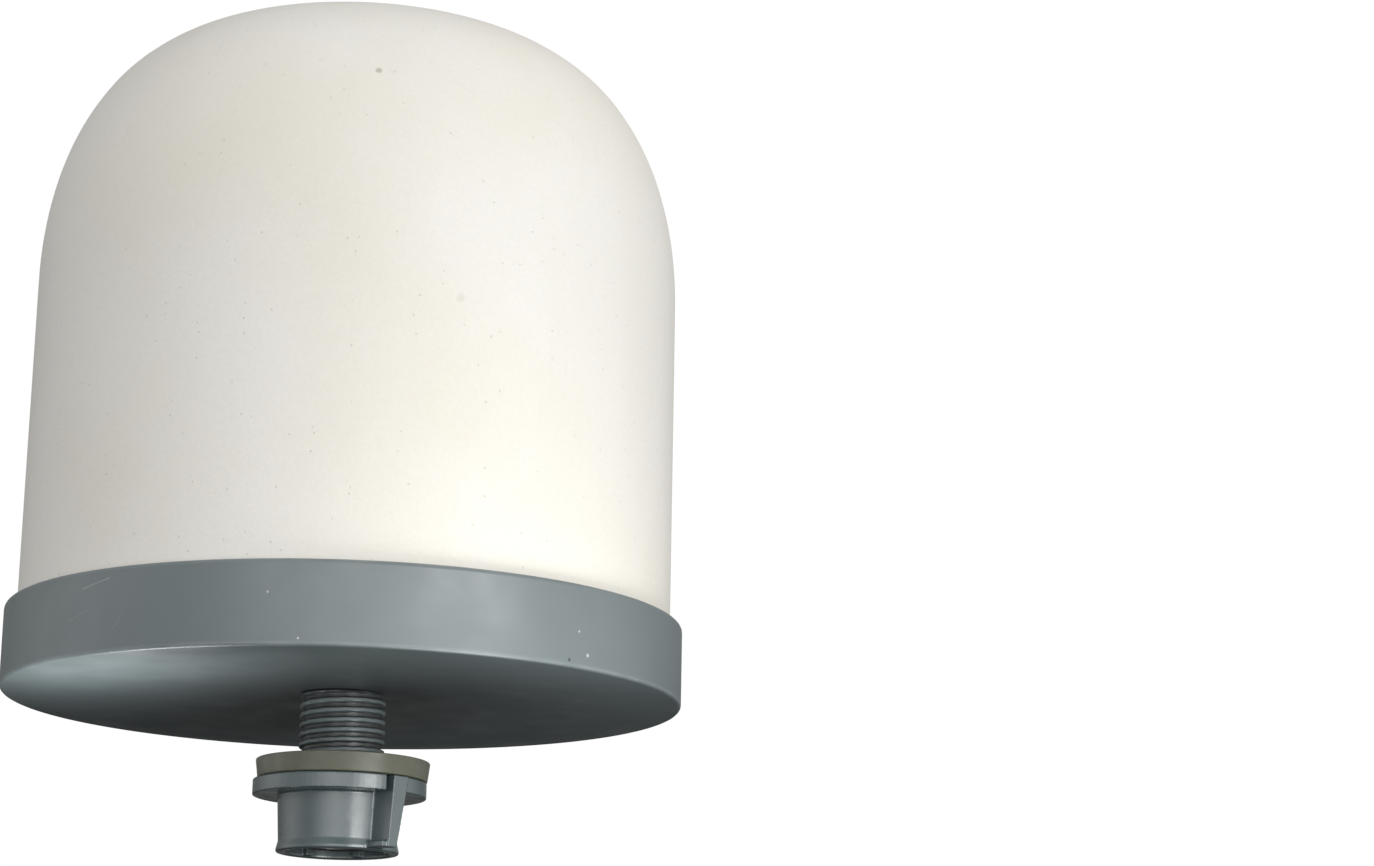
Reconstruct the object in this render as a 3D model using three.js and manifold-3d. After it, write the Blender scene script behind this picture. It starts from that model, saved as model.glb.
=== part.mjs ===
// Ceramic dome water filter for a gravity-fed tank.
//
// Water seeps through the ceramic dome, runs down through a bed of activated carbon, a felt pad
// and a slotted plate, and leaves by the hollow threaded stem. The stem goes through a hole in the
// tank's floor, and the wing nut pulls the base cap down on it, with a washer in between.
//
// Millimetres. The origin is on the filter's axis, in the plane that the base cap rests on.
// +Z points up through the dome. The nut is shown part of the way down the stem.

import * as THREE from "three";
import { mergeVertices } from "three/addons/utils/BufferGeometryUtils.js";
import Module from "manifold-3d";

const wasm = await Module();
wasm.setup();

// ---- driving dimensions ----------------------------------------------------------------------

const GAP = 0.3; // clearance between pieces that touch
const CUT_MARGIN = 1; // cutters reach this far past what they cut
const TURN = 2 * Math.PI;

const CAP_RADIUS = 48; // the base cap is 96 mm across
const CAP_HEIGHT = 11.5;
const CAP_WALL = 1.3;
const CAP_FLOOR_TOP = 4;
const CAP_TOP_ROUND = 0.8;
const CAP_BOTTOM_ROUND = 0.4;
const SEAT_RING_WIDTH = 5; // flat outer ring of the underside
const DISH_DEPTH = 1.2; // the underside rises this far from the ring to the stem

const DOME_RADIUS = 46.3;
const DOME_SHOULDER_RADIUS = 46.2;
const DOME_SHOULDER_Z = 59;
const DOME_TOP_Z = 98.5;
const DOME_WALL = 8;
const DOME_BELLY = 3.59; // how square the shoulder curve is across, 2 is an ellipse
const DOME_CROWN = 2.02; // and how square it is upwards

const BOND_THICKNESS = 1.3;
const UPSTAND_WALL = 2.2; // ring on the cap's floor that centres the dome
const UPSTAND_HEIGHT = 5;

const PLATE_THICKNESS = 1.5;
const PLATE_SLOT_WIDTH = 2.4;
const PLATE_SLOT_ROWS = [
  { inner: 8, outer: 16, count: 6 },
  { inner: 19, outer: 32, count: 12 },
];
const FELT_THICKNESS = 3;

const THREAD_PITCH = 1.4;
const THREAD_FLANK = 1.1; // how much wider the ridge gets for each mm towards its root
const THREAD_ROOT_OVERLAP = 0.2; // the ridge reaches this far into the core
const STEM_CREST_RADIUS = 6.05;
const STEM_CREST_WIDTH = 0.45;
const STEM_ROOT_RADIUS = 5.55;
const STEM_BORE_RADIUS = 4.2;
const STEM_END_Z = -20.5;
const STEM_END_CHAMFER = 0.5;
const STEM_OVERLAP = 1; // the thread runs this far into the cap's floor

const STRAINER_RADIUS = 8.7;
const STRAINER_THICKNESS = 0.9;
const STRAINER_HOLE_RADIUS = 0.8;
const STRAINER_HOLES_AROUND = 8;

const WASHER_RADIUS = 12.3;
const WASHER_BORE_RADIUS = 6.5;
const WASHER_THICKNESS = 2.55;
const WASHER_TOP_Z = -8.4;
const WASHER_CHAMFER = 0.5;

const NUT_TOP_Z = WASHER_TOP_Z - WASHER_THICKNESS - GAP;
const NUT_FLANGE_RADIUS = 12.24;
const NUT_FLANGE_THICKNESS = 2.2;
const NUT_BODY_TOP_RADIUS = 8.7;
const NUT_BODY_BOTTOM_RADIUS = 8.35;
const NUT_HEIGHT = 10.15;
const NUT_LIP_RADIUS = 8.65;
const NUT_LIP_HEIGHT = 0.8;
const NUT_THREAD_CLEARANCE = 0.35; // radial play between the nut's thread and the stem's
const NUT_OUTLET_RADIUS = 7.3;
const NUT_OUTLET_DEPTH = 2.4;
const NUT_RIB_COUNT = 6;
const NUT_RIB_WIDTH = 1.3;
const NUT_RIB_INNER_RADIUS = 6.5;
const NUT_RIB_ANGLE = -48; // one rib's direction, in degrees from +X about +Z

const EAR_ANGLE = -40.5; // degrees from +X about +Z
const EAR_RADIUS_TOP = 12.5;
const EAR_RADIUS_BOTTOM = 11.65;
const EAR_THICKNESS_TOP = 2.8; // only the side away from the slot is drafted
const EAR_THICKNESS_BOTTOM = 1.7;
const EAR_FOOT_GAP = 0.25; // the ear and the ribs end this far above the nut's bottom
const EAR_SLOT_WIDTH = 1; // slot in the flange beside the ear
const EAR_FOOT_RADIUS = 11.4;
const EAR_FOOT_WIDTH = 1.2; // ledge beside the ear, level with the lip
const EAR_FOOT_HEIGHT = 1.1;

const ROUND_STEPS = 48; // facets around every turned piece
const THREAD_STEPS = 16; // facets around each turn of a thread
const CURVE_STEPS = 10; // steps along the dome's shoulder
const HOLE_STEPS = 8;
const EDGE_STEPS = 3; // steps along each rounded edge
const WELD_DISTANCE = 1e-4; // corners closer than this are one corner

// ---- derived values --------------------------------------------------------------------------

const CAP_INNER_RADIUS = CAP_RADIUS - CAP_WALL;
const UPSTAND_RADIUS = DOME_RADIUS - DOME_WALL - GAP;
const UPSTAND_INNER_RADIUS = UPSTAND_RADIUS - UPSTAND_WALL;
const UPSTAND_TOP_Z = CAP_FLOOR_TOP + UPSTAND_HEIGHT;
const BOND_BOTTOM_Z = CAP_FLOOR_TOP + GAP;
const DOME_BOTTOM_Z = BOND_BOTTOM_Z + BOND_THICKNESS + GAP;
const STRAINER_SEAT_RADIUS = STRAINER_RADIUS + GAP;
const STRAINER_SEAT_Z = CAP_FLOOR_TOP - STRAINER_THICKNESS - GAP;
const PLATE_BOTTOM_Z = UPSTAND_TOP_Z + GAP;
const FELT_BOTTOM_Z = PLATE_BOTTOM_Z + PLATE_THICKNESS + GAP;
const BED_BOTTOM_Z = FELT_BOTTOM_Z + FELT_THICKNESS + GAP;
const BED_RADIUS = DOME_SHOULDER_RADIUS - DOME_WALL - GAP;
const NUT_BOTTOM_Z = NUT_TOP_Z - NUT_HEIGHT;
const EAR_BOTTOM_Z = NUT_BOTTOM_Z + EAR_FOOT_GAP;
const EAR_SIDE_Y = -EAR_THICKNESS_TOP / 2; // the ear's plumb side, when the ear points along +X
const THREAD_TOP_Z = DISH_DEPTH + STEM_OVERLAP;

// ---- finishes --------------------------------------------------------------------------------

function finish(color, roughness, metalness = 0) {
  return new THREE.MeshStandardMaterial({ color, roughness, metalness });
}

const CREAM_CERAMIC = finish(0xebe8dc, 0.85);
const GREY_PLASTIC = finish(0x70787a, 0.6);
const NUT_PLASTIC = finish(0x7c8689, 0.4);
const OLIVE_SILICONE = finish(0x74745f, 0.5);
const AMBER_RESIN = finish(0xc9b98a, 0.3);
const BLACK_CARBON = finish(0x1c1c1e, 0.95);
const WHITE_FELT = finish(0xe6e4de, 0.95);
const WHITE_PLASTIC = finish(0xd8dadb, 0.5);

// ---- making solids ---------------------------------------------------------------------------

// A closed three.js geometry as a manifold solid.
function solidOf(geometry) {
  const bare = geometry.clone();
  bare.deleteAttribute("normal");
  bare.deleteAttribute("uv");
  const merged = mergeVertices(bare, WELD_DISTANCE);
  const vertProperties = new Float32Array(merged.attributes.position.array);
  const corners = merged.index.array;
  const triVerts = [];
  for (let i = 0; i < corners.length; i += 3) {
    const [a, b, c] = [corners[i], corners[i + 1], corners[i + 2]];
    if (a !== b && b !== c && c !== a) {
      triVerts.push(a, b, c);
    }
  }
  const mesh = new wasm.Mesh({ numProp: 3, vertProperties, triVerts: new Uint32Array(triVerts) });
  return new wasm.Manifold(mesh);
}

// A manifold solid as a three.js mesh.
function meshOf(name, solid, material) {
  const { numProp, vertProperties, triVerts } = solid.getMesh();
  const geometry = new THREE.BufferGeometry();
  geometry.setAttribute("position", new THREE.BufferAttribute(vertProperties, numProp));
  geometry.setIndex(new THREE.BufferAttribute(triVerts, 1));
  geometry.computeVertexNormals();
  const mesh = new THREE.Mesh(geometry, material);
  mesh.name = name;
  return mesh;
}

// A solid turned about Z from a closed outline of [radius, z] points, anticlockwise in that plane.
function turned(outline, steps = ROUND_STEPS) {
  const points = [...outline, outline[0]].map(([radius, z]) => new THREE.Vector2(radius, z));
  const geometry = new THREE.LatheGeometry(points, steps);
  geometry.rotateX(Math.PI / 2);
  return solidOf(geometry);
}

// A round plug about Z from bottom to top.
function plug(radius, bottom, top, steps = ROUND_STEPS) {
  return turned([[0, bottom], [radius, bottom], [radius, top], [0, top]], steps);
}

// A ring about Z.
function ring(inner, outer, bottom, top) {
  return turned([[inner, bottom], [outer, bottom], [outer, top], [inner, top]]);
}

// Four corners of a rectangle that reaches from inner to outer along +X and from left to right in Y.
function rectangle(inner, outer, left, right) {
  return [[inner, left], [outer, left], [outer, right], [inner, right]];
}

// Solid with flat ends: one outline of [x, y] points at the bottom and another at the top.
function tapered(lowOutline, bottom, highOutline, top) {
  const corners = [
    ...lowOutline.map(([x, y]) => [x, y, bottom]),
    ...highOutline.map(([x, y]) => [x, y, top]),
  ];
  return wasm.Manifold.hull(corners);
}

// A straight-sided block between radii along +X, centred across, then turned about Z in degrees.
function radialBar(inner, outer, width, bottom, top, angle) {
  const outline = rectangle(inner, outer, -width / 2, width / 2);
  return tapered(outline, bottom, outline, top).rotate([0, 0, angle]);
}

// Quarter of a circle as outline points, for rounding an edge.
function quarterRound(centreRadius, centreZ, radius, fromDegrees) {
  const points = [];
  for (let i = 0; i <= EDGE_STEPS; i++) {
    const angle = THREE.MathUtils.degToRad(fromDegrees + (90 * i) / EDGE_STEPS);
    points.push([centreRadius + radius * Math.cos(angle), centreZ + radius * Math.sin(angle)]);
  }
  return points;
}

// The dome's curve from the shoulder to the crown, offset inwards by inset.
function domeCurve(inset) {
  const radius = DOME_SHOULDER_RADIUS - inset;
  const rise = DOME_TOP_Z - inset - DOME_SHOULDER_Z;
  const points = [];
  for (let i = 0; i <= CURVE_STEPS; i++) {
    const angle = (Math.PI / 2) * (i / CURVE_STEPS);
    const across = i === CURVE_STEPS ? 0 : Math.cos(angle) ** (2 / DOME_BELLY);
    points.push([radius * across, DOME_SHOULDER_Z + rise * Math.sin(angle) ** (2 / DOME_CROWN)]);
  }
  return points;
}

// Rod with a right-hand helical thread: a round core, and a ridge that climbs one pitch per turn.
// Above +X the middle of the ridge is at whole pitches from z = 0. Its flat crest is crestWidth wide.
function threadedRod(rootRadius, crestRadius, crestWidth, bottom, top) {
  const rootInset = rootRadius - THREAD_ROOT_OVERLAP;
  const footWidth = crestWidth + THREAD_FLANK * (crestRadius - rootInset);
  const section = [
    [rootInset, -footWidth / 2],
    [crestRadius, -crestWidth / 2],
    [crestRadius, crestWidth / 2],
    [rootInset, footWidth / 2],
  ];
  const firstTurn = Math.floor(bottom / THREAD_PITCH) - 1;
  const lastTurn = Math.ceil(top / THREAD_PITCH) + 1;
  const stepCount = (lastTurn - firstTurn) * THREAD_STEPS;
  const positions = [];
  for (let step = 0; step <= stepCount; step++) {
    const angle = (TURN * step) / THREAD_STEPS;
    const middle = THREAD_PITCH * (firstTurn + step / THREAD_STEPS);
    for (const [radius, rise] of section) {
      positions.push(radius * Math.cos(angle), radius * Math.sin(angle), middle + rise);
    }
  }
  const triangles = [0, 1, 2, 0, 2, 3];
  for (let step = 0; step < stepCount; step++) {
    for (let side = 0; side < 4; side++) {
      const a = step * 4 + side;
      const b = step * 4 + ((side + 1) % 4);
      triangles.push(a, a + 4, b + 4, a, b + 4, b);
    }
  }
  const end = stepCount * 4;
  triangles.push(end, end + 2, end + 1, end, end + 3, end + 2);
  const geometry = new THREE.BufferGeometry();
  geometry.setAttribute("position", new THREE.Float32BufferAttribute(positions, 3));
  geometry.setIndex(triangles);
  const core = plug(rootRadius, bottom, top, THREAD_STEPS);
  const slice = plug(crestRadius + CUT_MARGIN, bottom, top, THREAD_STEPS);
  return core.add(solidOf(geometry).intersect(slice));
}

// ---- pieces ----------------------------------------------------------------------------------

// Porous shell: nearly straight walls, a rounded crown and an open bottom.
function ceramicDome() {
  const outline = [
    [DOME_RADIUS - DOME_WALL, DOME_BOTTOM_Z],
    [DOME_RADIUS, DOME_BOTTOM_Z],
    ...domeCurve(0),
    ...domeCurve(DOME_WALL).reverse(),
  ];
  return turned(outline);
}

// Granules that fill the dome, with the dome's inner shape.
function carbonBed() {
  return turned([[0, BED_BOTTOM_Z], [BED_RADIUS, BED_BOTTOM_Z], ...domeCurve(DOME_WALL + GAP)]);
}

// Cup with a shallow dish in its underside, a centring ring inside and the hollow stem below.
function baseCap() {
  const dishRadius = CAP_RADIUS - SEAT_RING_WIDTH;
  const topRound = quarterRound(CAP_RADIUS - CAP_TOP_ROUND, CAP_HEIGHT - CAP_TOP_ROUND, CAP_TOP_ROUND, 0);
  const bottomRound = quarterRound(CAP_RADIUS - CAP_BOTTOM_ROUND, CAP_BOTTOM_ROUND, CAP_BOTTOM_ROUND, -90);
  const cup = turned([
    [0, DISH_DEPTH],
    [STEM_CREST_RADIUS, DISH_DEPTH],
    [dishRadius, 0],
    ...bottomRound,
    ...topRound,
    [CAP_INNER_RADIUS, CAP_HEIGHT],
    [CAP_INNER_RADIUS, CAP_FLOOR_TOP],
    [UPSTAND_RADIUS, CAP_FLOOR_TOP],
    [UPSTAND_RADIUS, UPSTAND_TOP_Z],
    [UPSTAND_INNER_RADIUS, UPSTAND_TOP_Z],
    [UPSTAND_INNER_RADIUS, CAP_FLOOR_TOP],
    [STRAINER_SEAT_RADIUS, CAP_FLOOR_TOP],
    [STRAINER_SEAT_RADIUS, STRAINER_SEAT_Z],
    [0, STRAINER_SEAT_Z],
  ]);
  const thread = threadedRod(
    STEM_ROOT_RADIUS, STEM_CREST_RADIUS, STEM_CREST_WIDTH, STEM_END_Z, THREAD_TOP_Z);
  const chamfered = turned([
    [0, STEM_END_Z],
    [STEM_CREST_RADIUS - STEM_END_CHAMFER, STEM_END_Z],
    [STEM_CREST_RADIUS + STEM_END_CHAMFER, STEM_END_Z + 2 * STEM_END_CHAMFER],
    [STEM_CREST_RADIUS + STEM_END_CHAMFER, THREAD_TOP_Z],
    [0, THREAD_TOP_Z],
  ], THREAD_STEPS);
  const bore = plug(
    STEM_BORE_RADIUS, STEM_END_Z - CUT_MARGIN, STRAINER_SEAT_Z + CUT_MARGIN, THREAD_STEPS);
  return cup.add(thread.intersect(chamfered)).subtract(bore);
}

// Cured resin under the dome's rim, in the channel between the cap's wall and its centring ring.
function bondRing() {
  return ring(UPSTAND_RADIUS + GAP, CAP_INNER_RADIUS - GAP, BOND_BOTTOM_Z, BOND_BOTTOM_Z + BOND_THICKNESS);
}

// Slotted plate on the centring ring. It carries the felt pad and the bed above the outlet.
function retainingPlate() {
  const top = PLATE_BOTTOM_Z + PLATE_THICKNESS;
  let plate = plug(UPSTAND_RADIUS, PLATE_BOTTOM_Z, top);
  for (const { inner, outer, count } of PLATE_SLOT_ROWS) {
    for (let i = 0; i < count; i++) {
      const slot = radialBar(inner, outer, PLATE_SLOT_WIDTH,
        PLATE_BOTTOM_Z - CUT_MARGIN, top + CUT_MARGIN, (360 * i) / count);
      plate = plate.subtract(slot);
    }
  }
  return plate;
}

// Soft disc that keeps the granules off the plate's slots.
function feltPad() {
  return plug(UPSTAND_RADIUS, FELT_BOTTOM_Z, FELT_BOTTOM_Z + FELT_THICKNESS);
}

// Perforated disc over the stem's bore: one hole in the middle and a ring of holes around it.
function outletStrainer() {
  const bottom = STRAINER_SEAT_Z + GAP;
  const top = bottom + STRAINER_THICKNESS;
  const ringRadius = STEM_BORE_RADIUS - STRAINER_HOLE_RADIUS - GAP;
  const hole = plug(STRAINER_HOLE_RADIUS, bottom - CUT_MARGIN, top + CUT_MARGIN, HOLE_STEPS);
  let strainer = plug(STRAINER_RADIUS, bottom, top).subtract(hole);
  for (let i = 0; i < STRAINER_HOLES_AROUND; i++) {
    const angle = (TURN * i) / STRAINER_HOLES_AROUND;
    const place = [ringRadius * Math.cos(angle), ringRadius * Math.sin(angle), 0];
    strainer = strainer.subtract(hole.translate(place));
  }
  return strainer;
}

// Soft ring around the stem, with its lower outer edge cut back.
function sealingWasher() {
  const bottom = WASHER_TOP_Z - WASHER_THICKNESS;
  return turned([
    [WASHER_BORE_RADIUS, bottom],
    [WASHER_RADIUS - WASHER_CHAMFER, bottom],
    [WASHER_RADIUS, bottom + WASHER_CHAMFER],
    [WASHER_RADIUS, WASHER_TOP_Z],
    [WASHER_BORE_RADIUS, WASHER_TOP_Z],
  ]);
}

// Finger ear down the nut's side, drawn in towards its foot. The foot is a ledge on the slot's side.
function nutEar() {
  const inner = NUT_OUTLET_RADIUS + GAP;
  const footTop = EAR_BOTTOM_Z + EAR_FOOT_HEIGHT;
  const farSideBottom = EAR_SIDE_Y + EAR_THICKNESS_BOTTOM;
  const blade = tapered(
    rectangle(inner, EAR_RADIUS_BOTTOM, EAR_SIDE_Y, farSideBottom), EAR_BOTTOM_Z,
    rectangle(inner, EAR_RADIUS_TOP, EAR_SIDE_Y, EAR_SIDE_Y + EAR_THICKNESS_TOP), NUT_TOP_Z);
  const ledge = rectangle(inner, EAR_FOOT_RADIUS, EAR_SIDE_Y - EAR_FOOT_WIDTH, farSideBottom);
  return blade.add(tapered(ledge, EAR_BOTTOM_Z, ledge, footTop));
}

// Gap through the flange beside the ear, for an ear that points along +X.
function flangeSlot(bottom) {
  const outline = rectangle(
    NUT_BODY_TOP_RADIUS, NUT_FLANGE_RADIUS + CUT_MARGIN, EAR_SIDE_Y - EAR_SLOT_WIDTH, EAR_SIDE_Y);
  return tapered(outline, bottom - CUT_MARGIN, outline, NUT_TOP_Z + CUT_MARGIN);
}

// Round flanged nut with one ear, an inside thread, and an open outlet with short ribs.
function wingNut() {
  const flangeBottom = NUT_TOP_Z - NUT_FLANGE_THICKNESS;
  const lipTop = NUT_BOTTOM_Z + NUT_LIP_HEIGHT;
  const outletTop = NUT_BOTTOM_Z + NUT_OUTLET_DEPTH;
  const outside = turned([
    [0, NUT_BOTTOM_Z],
    [NUT_LIP_RADIUS, NUT_BOTTOM_Z],
    [NUT_LIP_RADIUS, lipTop - GAP],
    [NUT_BODY_BOTTOM_RADIUS, lipTop],
    [NUT_BODY_TOP_RADIUS, flangeBottom],
    [NUT_FLANGE_RADIUS, flangeBottom],
    [NUT_FLANGE_RADIUS, NUT_TOP_Z],
    [0, NUT_TOP_Z],
  ]);
  const thread = threadedRod(
    STEM_ROOT_RADIUS + NUT_THREAD_CLEARANCE, STEM_CREST_RADIUS + NUT_THREAD_CLEARANCE,
    STEM_CREST_WIDTH + NUT_THREAD_CLEARANCE, NUT_BOTTOM_Z - CUT_MARGIN, NUT_TOP_Z + CUT_MARGIN);
  const outlet = plug(NUT_OUTLET_RADIUS, NUT_BOTTOM_Z - CUT_MARGIN, outletTop);
  const toEar = [0, 0, EAR_ANGLE];
  const slotted = outside.subtract(flangeSlot(flangeBottom).rotate(toEar));
  let nut = slotted.add(nutEar().rotate(toEar)).subtract(thread).subtract(outlet);
  for (let i = 0; i < NUT_RIB_COUNT; i++) {
    const angle = NUT_RIB_ANGLE + (360 * i) / NUT_RIB_COUNT;
    nut = nut.add(radialBar(NUT_RIB_INNER_RADIUS, NUT_OUTLET_RADIUS + GAP, NUT_RIB_WIDTH,
      EAR_BOTTOM_Z, outletTop + GAP, angle));
  }
  return nut;
}

// ---- the assembly ----------------------------------------------------------------------------

const filter = new THREE.Group();
filter.add(meshOf("ceramic_dome", ceramicDome(), CREAM_CERAMIC));
filter.add(meshOf("carbon_bed", carbonBed(), BLACK_CARBON));
filter.add(meshOf("felt_pad", feltPad(), WHITE_FELT));
filter.add(meshOf("retaining_plate", retainingPlate(), WHITE_PLASTIC));
filter.add(meshOf("outlet_strainer", outletStrainer(), WHITE_PLASTIC));
filter.add(meshOf("bond_ring", bondRing(), AMBER_RESIN));
filter.add(meshOf("base_cap", baseCap(), GREY_PLASTIC));
filter.add(meshOf("sealing_washer", sealingWasher(), OLIVE_SILICONE));
filter.add(meshOf("wing_nut", wingNut(), NUT_PLASTIC));

export default filter;
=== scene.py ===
"""Looks of a ceramic dome water filter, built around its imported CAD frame. Metres, +Z up."""

import math

import bmesh
import bpy
from mathutils import Euler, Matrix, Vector, noise


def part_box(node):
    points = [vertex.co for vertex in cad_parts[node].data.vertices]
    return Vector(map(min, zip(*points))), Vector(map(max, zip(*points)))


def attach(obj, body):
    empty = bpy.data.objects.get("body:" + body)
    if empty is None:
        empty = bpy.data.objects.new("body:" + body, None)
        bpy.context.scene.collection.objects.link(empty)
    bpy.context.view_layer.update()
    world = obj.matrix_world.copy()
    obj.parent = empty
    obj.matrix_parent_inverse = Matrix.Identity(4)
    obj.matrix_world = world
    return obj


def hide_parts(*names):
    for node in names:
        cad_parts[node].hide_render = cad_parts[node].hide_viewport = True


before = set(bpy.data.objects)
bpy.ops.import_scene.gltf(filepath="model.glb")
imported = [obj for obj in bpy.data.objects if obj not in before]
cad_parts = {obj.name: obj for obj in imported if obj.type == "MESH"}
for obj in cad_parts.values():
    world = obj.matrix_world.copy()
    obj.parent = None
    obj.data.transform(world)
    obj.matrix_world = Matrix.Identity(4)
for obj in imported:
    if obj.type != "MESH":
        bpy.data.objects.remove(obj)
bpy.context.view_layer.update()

MM = 0.001
TURN = 2 * math.pi

# ---- sizes taken from the frame ----------------------------------------------------------------

DOME_LOW, DOME_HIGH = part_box("ceramic_dome")
CAP_LOW, CAP_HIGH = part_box("base_cap")
WASHER_LOW, WASHER_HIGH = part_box("sealing_washer")
NUT_LOW, NUT_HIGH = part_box("wing_nut")
PLATE_LOW, PLATE_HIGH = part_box("retaining_plate")
FELT_LOW, FELT_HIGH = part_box("felt_pad")
BED_LOW, BED_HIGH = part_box("carbon_bed")
STRAINER_LOW, STRAINER_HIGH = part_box("outlet_strainer")
BOND_LOW, BOND_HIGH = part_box("bond_ring")

# ---- sizes of finer features -------------------------------------------------------------------

DOME_WALL = 8 * MM
DOME_SHOULDER_RADIUS = DOME_HIGH.x - 0.1 * MM
DOME_SHOULDER_Z = 59 * MM
DOME_BELLY = 3.59
DOME_CROWN = 2.02
DOME_UNEVENNESS = 0.07 * MM
GAP = 0.3 * MM
GRANULE_SIZE = 1.6 * MM
GRANULE_RELIEF = 0.7 * MM
BOND_INNER_RADIUS = PLATE_HIGH.x + GAP

CAP_RADIUS = CAP_HIGH.x
CAP_WALL = 1.3 * MM
CAP_TOP_ROUND = 0.7 * MM
CAP_BOTTOM_ROUND = 0.45 * MM
CAP_FLOOR_TOP = 4 * MM
SEAT_RING_WIDTH = 5 * MM
DISH_DEPTH = 1.2 * MM
UPSTAND_WALL = 2.2 * MM
STRAINER_SEAT_RADIUS = STRAINER_HIGH.x + GAP

THREAD_PITCH = 1.4 * MM
THREAD_DEPTH = 0.5 * MM
THREAD_CREST_END = 0.14  # shares of the pitch, from the crest's middle
THREAD_GROOVE_START = 0.34
THREAD_ROW_HEIGHT = 0.1 * MM
THREAD_START_FADE = 0.7 * MM
THREAD_END_FADE = 0.28 * MM
STEM_CREST_RADIUS = 6.05 * MM
STEM_BORE_RADIUS = 4.2 * MM
STEM_ROOT_RADIUS = STEM_CREST_RADIUS - THREAD_DEPTH

WASHER_BORE_RADIUS = 6.5 * MM
WASHER_TAPER = 0.35 * MM
WASHER_PLAY = 0.35 * MM
WASHER_SAG = 0.2 * MM  # soft ring that nearly touches the nut

NUT_FLANGE_THICKNESS = 2.2 * MM
NUT_FLANGE_RADIUS = 12.24 * MM
NUT_BODY_TOP_RADIUS = 8.7 * MM
NUT_BODY_BOTTOM_RADIUS = 8.35 * MM
NUT_LIP_RADIUS = 8.65 * MM
NUT_LIP_HEIGHT = 0.8 * MM
NUT_THREAD_CLEARANCE = 0.35 * MM
NUT_THREAD_MARGIN = 0.3 * MM
NUT_BORE_EDGE = 0.25 * MM
NUT_OUTLET_RADIUS = 7.3 * MM
NUT_OUTLET_DEPTH = 2.4 * MM
NUT_RIB_COUNT = 6
NUT_RIB_WIDTH = 1.3 * MM
NUT_RIB_INNER_RADIUS = 6.5 * MM
NUT_RIB_ANGLE = math.radians(-48)
EAR_ANGLE = math.radians(-40.5)
EAR_RADIUS_TOP = 12.5 * MM
EAR_RADIUS_BOTTOM = 11.65 * MM
EAR_THICKNESS_TOP = 2.8 * MM
EAR_THICKNESS_BOTTOM = 1.7 * MM
EAR_SIDE_Y = -EAR_THICKNESS_TOP / 2
EAR_FOOT_GAP = 0.25 * MM
EAR_SLOT_WIDTH = 1 * MM
EAR_FOOT_RADIUS = 11.4 * MM
EAR_FOOT_WIDTH = 0.9 * MM
EAR_FOOT_HEIGHT = 0.8 * MM

# Small places that were knocked or stained. A place is degrees right of the camera's side, then
# reach and z in millimetres. Then come the radius or width in millimetres, and a strength or tone.
DOME_MARKS = [((8, 42, 80), 0.6, 0.45), ((23, 46, 48), 0.8, 0.12)]
CAP_SCRATCHES = [
    ((-40, 48, 9), (-34, 48, 10), 0.14, 0.3),
    ((-43, 48, 5), (-39, 48, 6), 0.12, 0.1),
    ((-33, 48, 3), (-31, 48, 5), 0.12, 0.1),
]
CAP_MARKS = [
    ((44, 48, 1), 0.3, 0.02),
    ((48, 48, 2), 0.3, 0.45),
    ((46, 48, 5), 0.2, 0.45),
    ((-1, 48, 1), 0.2, 0.45),
    ((-6, 48, 7), 0.2, 0.4),
]

# ---- camera ------------------------------------------------------------------------------------

CAMERA_PLACE = (0.0498, -0.4516, -0.0684)
CAMERA_LENS = 83.9
CAMERA_SENSOR_WIDTH = 36
CAMERA_RISE = math.radians(13.53)
CAMERA_TURN = math.radians(0.2)
CAMERA_ROLL = math.radians(0.95)

# ---- light -------------------------------------------------------------------------------------

# Broad white glows around the filter: degrees right of the camera's side, degrees up, brightness
TENT_GLOWS = [
    (0, 90, 0.4),
    (0, 10, 2),
    (90, 10, 1.2),
    (-90, 10, 1),
    (180, 30, 0.5),
]
GLOW_SHARPNESS = 5
BACKDROP_STRENGTH = 1.02
KEY_PLACE = (45, 12, 0.9)  # degrees right, degrees up, distance
KEY_SIZE = 0.45
KEY_POWER = 3

# Two small white lamps below: one in front of the cap's edge, one under it that shines straight up
EDGE_LAMP_TURN = 40  # degrees right of the camera's side
EDGE_LAMP_POWER = 0.03
EDGE_LAMP_REACH = 85 * MM
EDGE_LAMP_Z = -40 * MM
EDGE_LAMP_SIZE = 40 * MM
UNDER_LAMP_TURN = -50  # degrees right of the camera's side
UNDER_LAMP_POWER = 0.01
UNDER_LAMP_REACH = 41 * MM
UNDER_LAMP_Z = -32 * MM
UNDER_LAMP_SIZE = 20 * MM
UNDER_LAMP_SPREAD = 110

FLOOR_Z = -0.35
FLOOR_REACH = 4

SHARP_EDGE_ANGLE = math.radians(40)
ON_AXIS = 1e-7
FILLET_STEPS = 5
SECTOR_STEPS = 90
ROUND_STEPS = 192
NUT_VOXEL = 0.11 * MM
NUT_SOFTENING = 8

# ---- building meshes ---------------------------------------------------------------------------


def object_from(name, vertices, faces):
    """A smooth-shaded mesh object whose edges stay crisp above an angle."""
    mesh = bpy.data.meshes.new(name)
    mesh.from_pydata(vertices, [], faces)
    mesh.validate()
    mesh.update()
    mesh.shade_smooth()
    mesh.set_sharp_from_angle(angle=SHARP_EDGE_ANGLE)
    piece = bpy.data.objects.new(name, mesh)
    bpy.context.scene.collection.objects.link(piece)
    return piece


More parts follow.
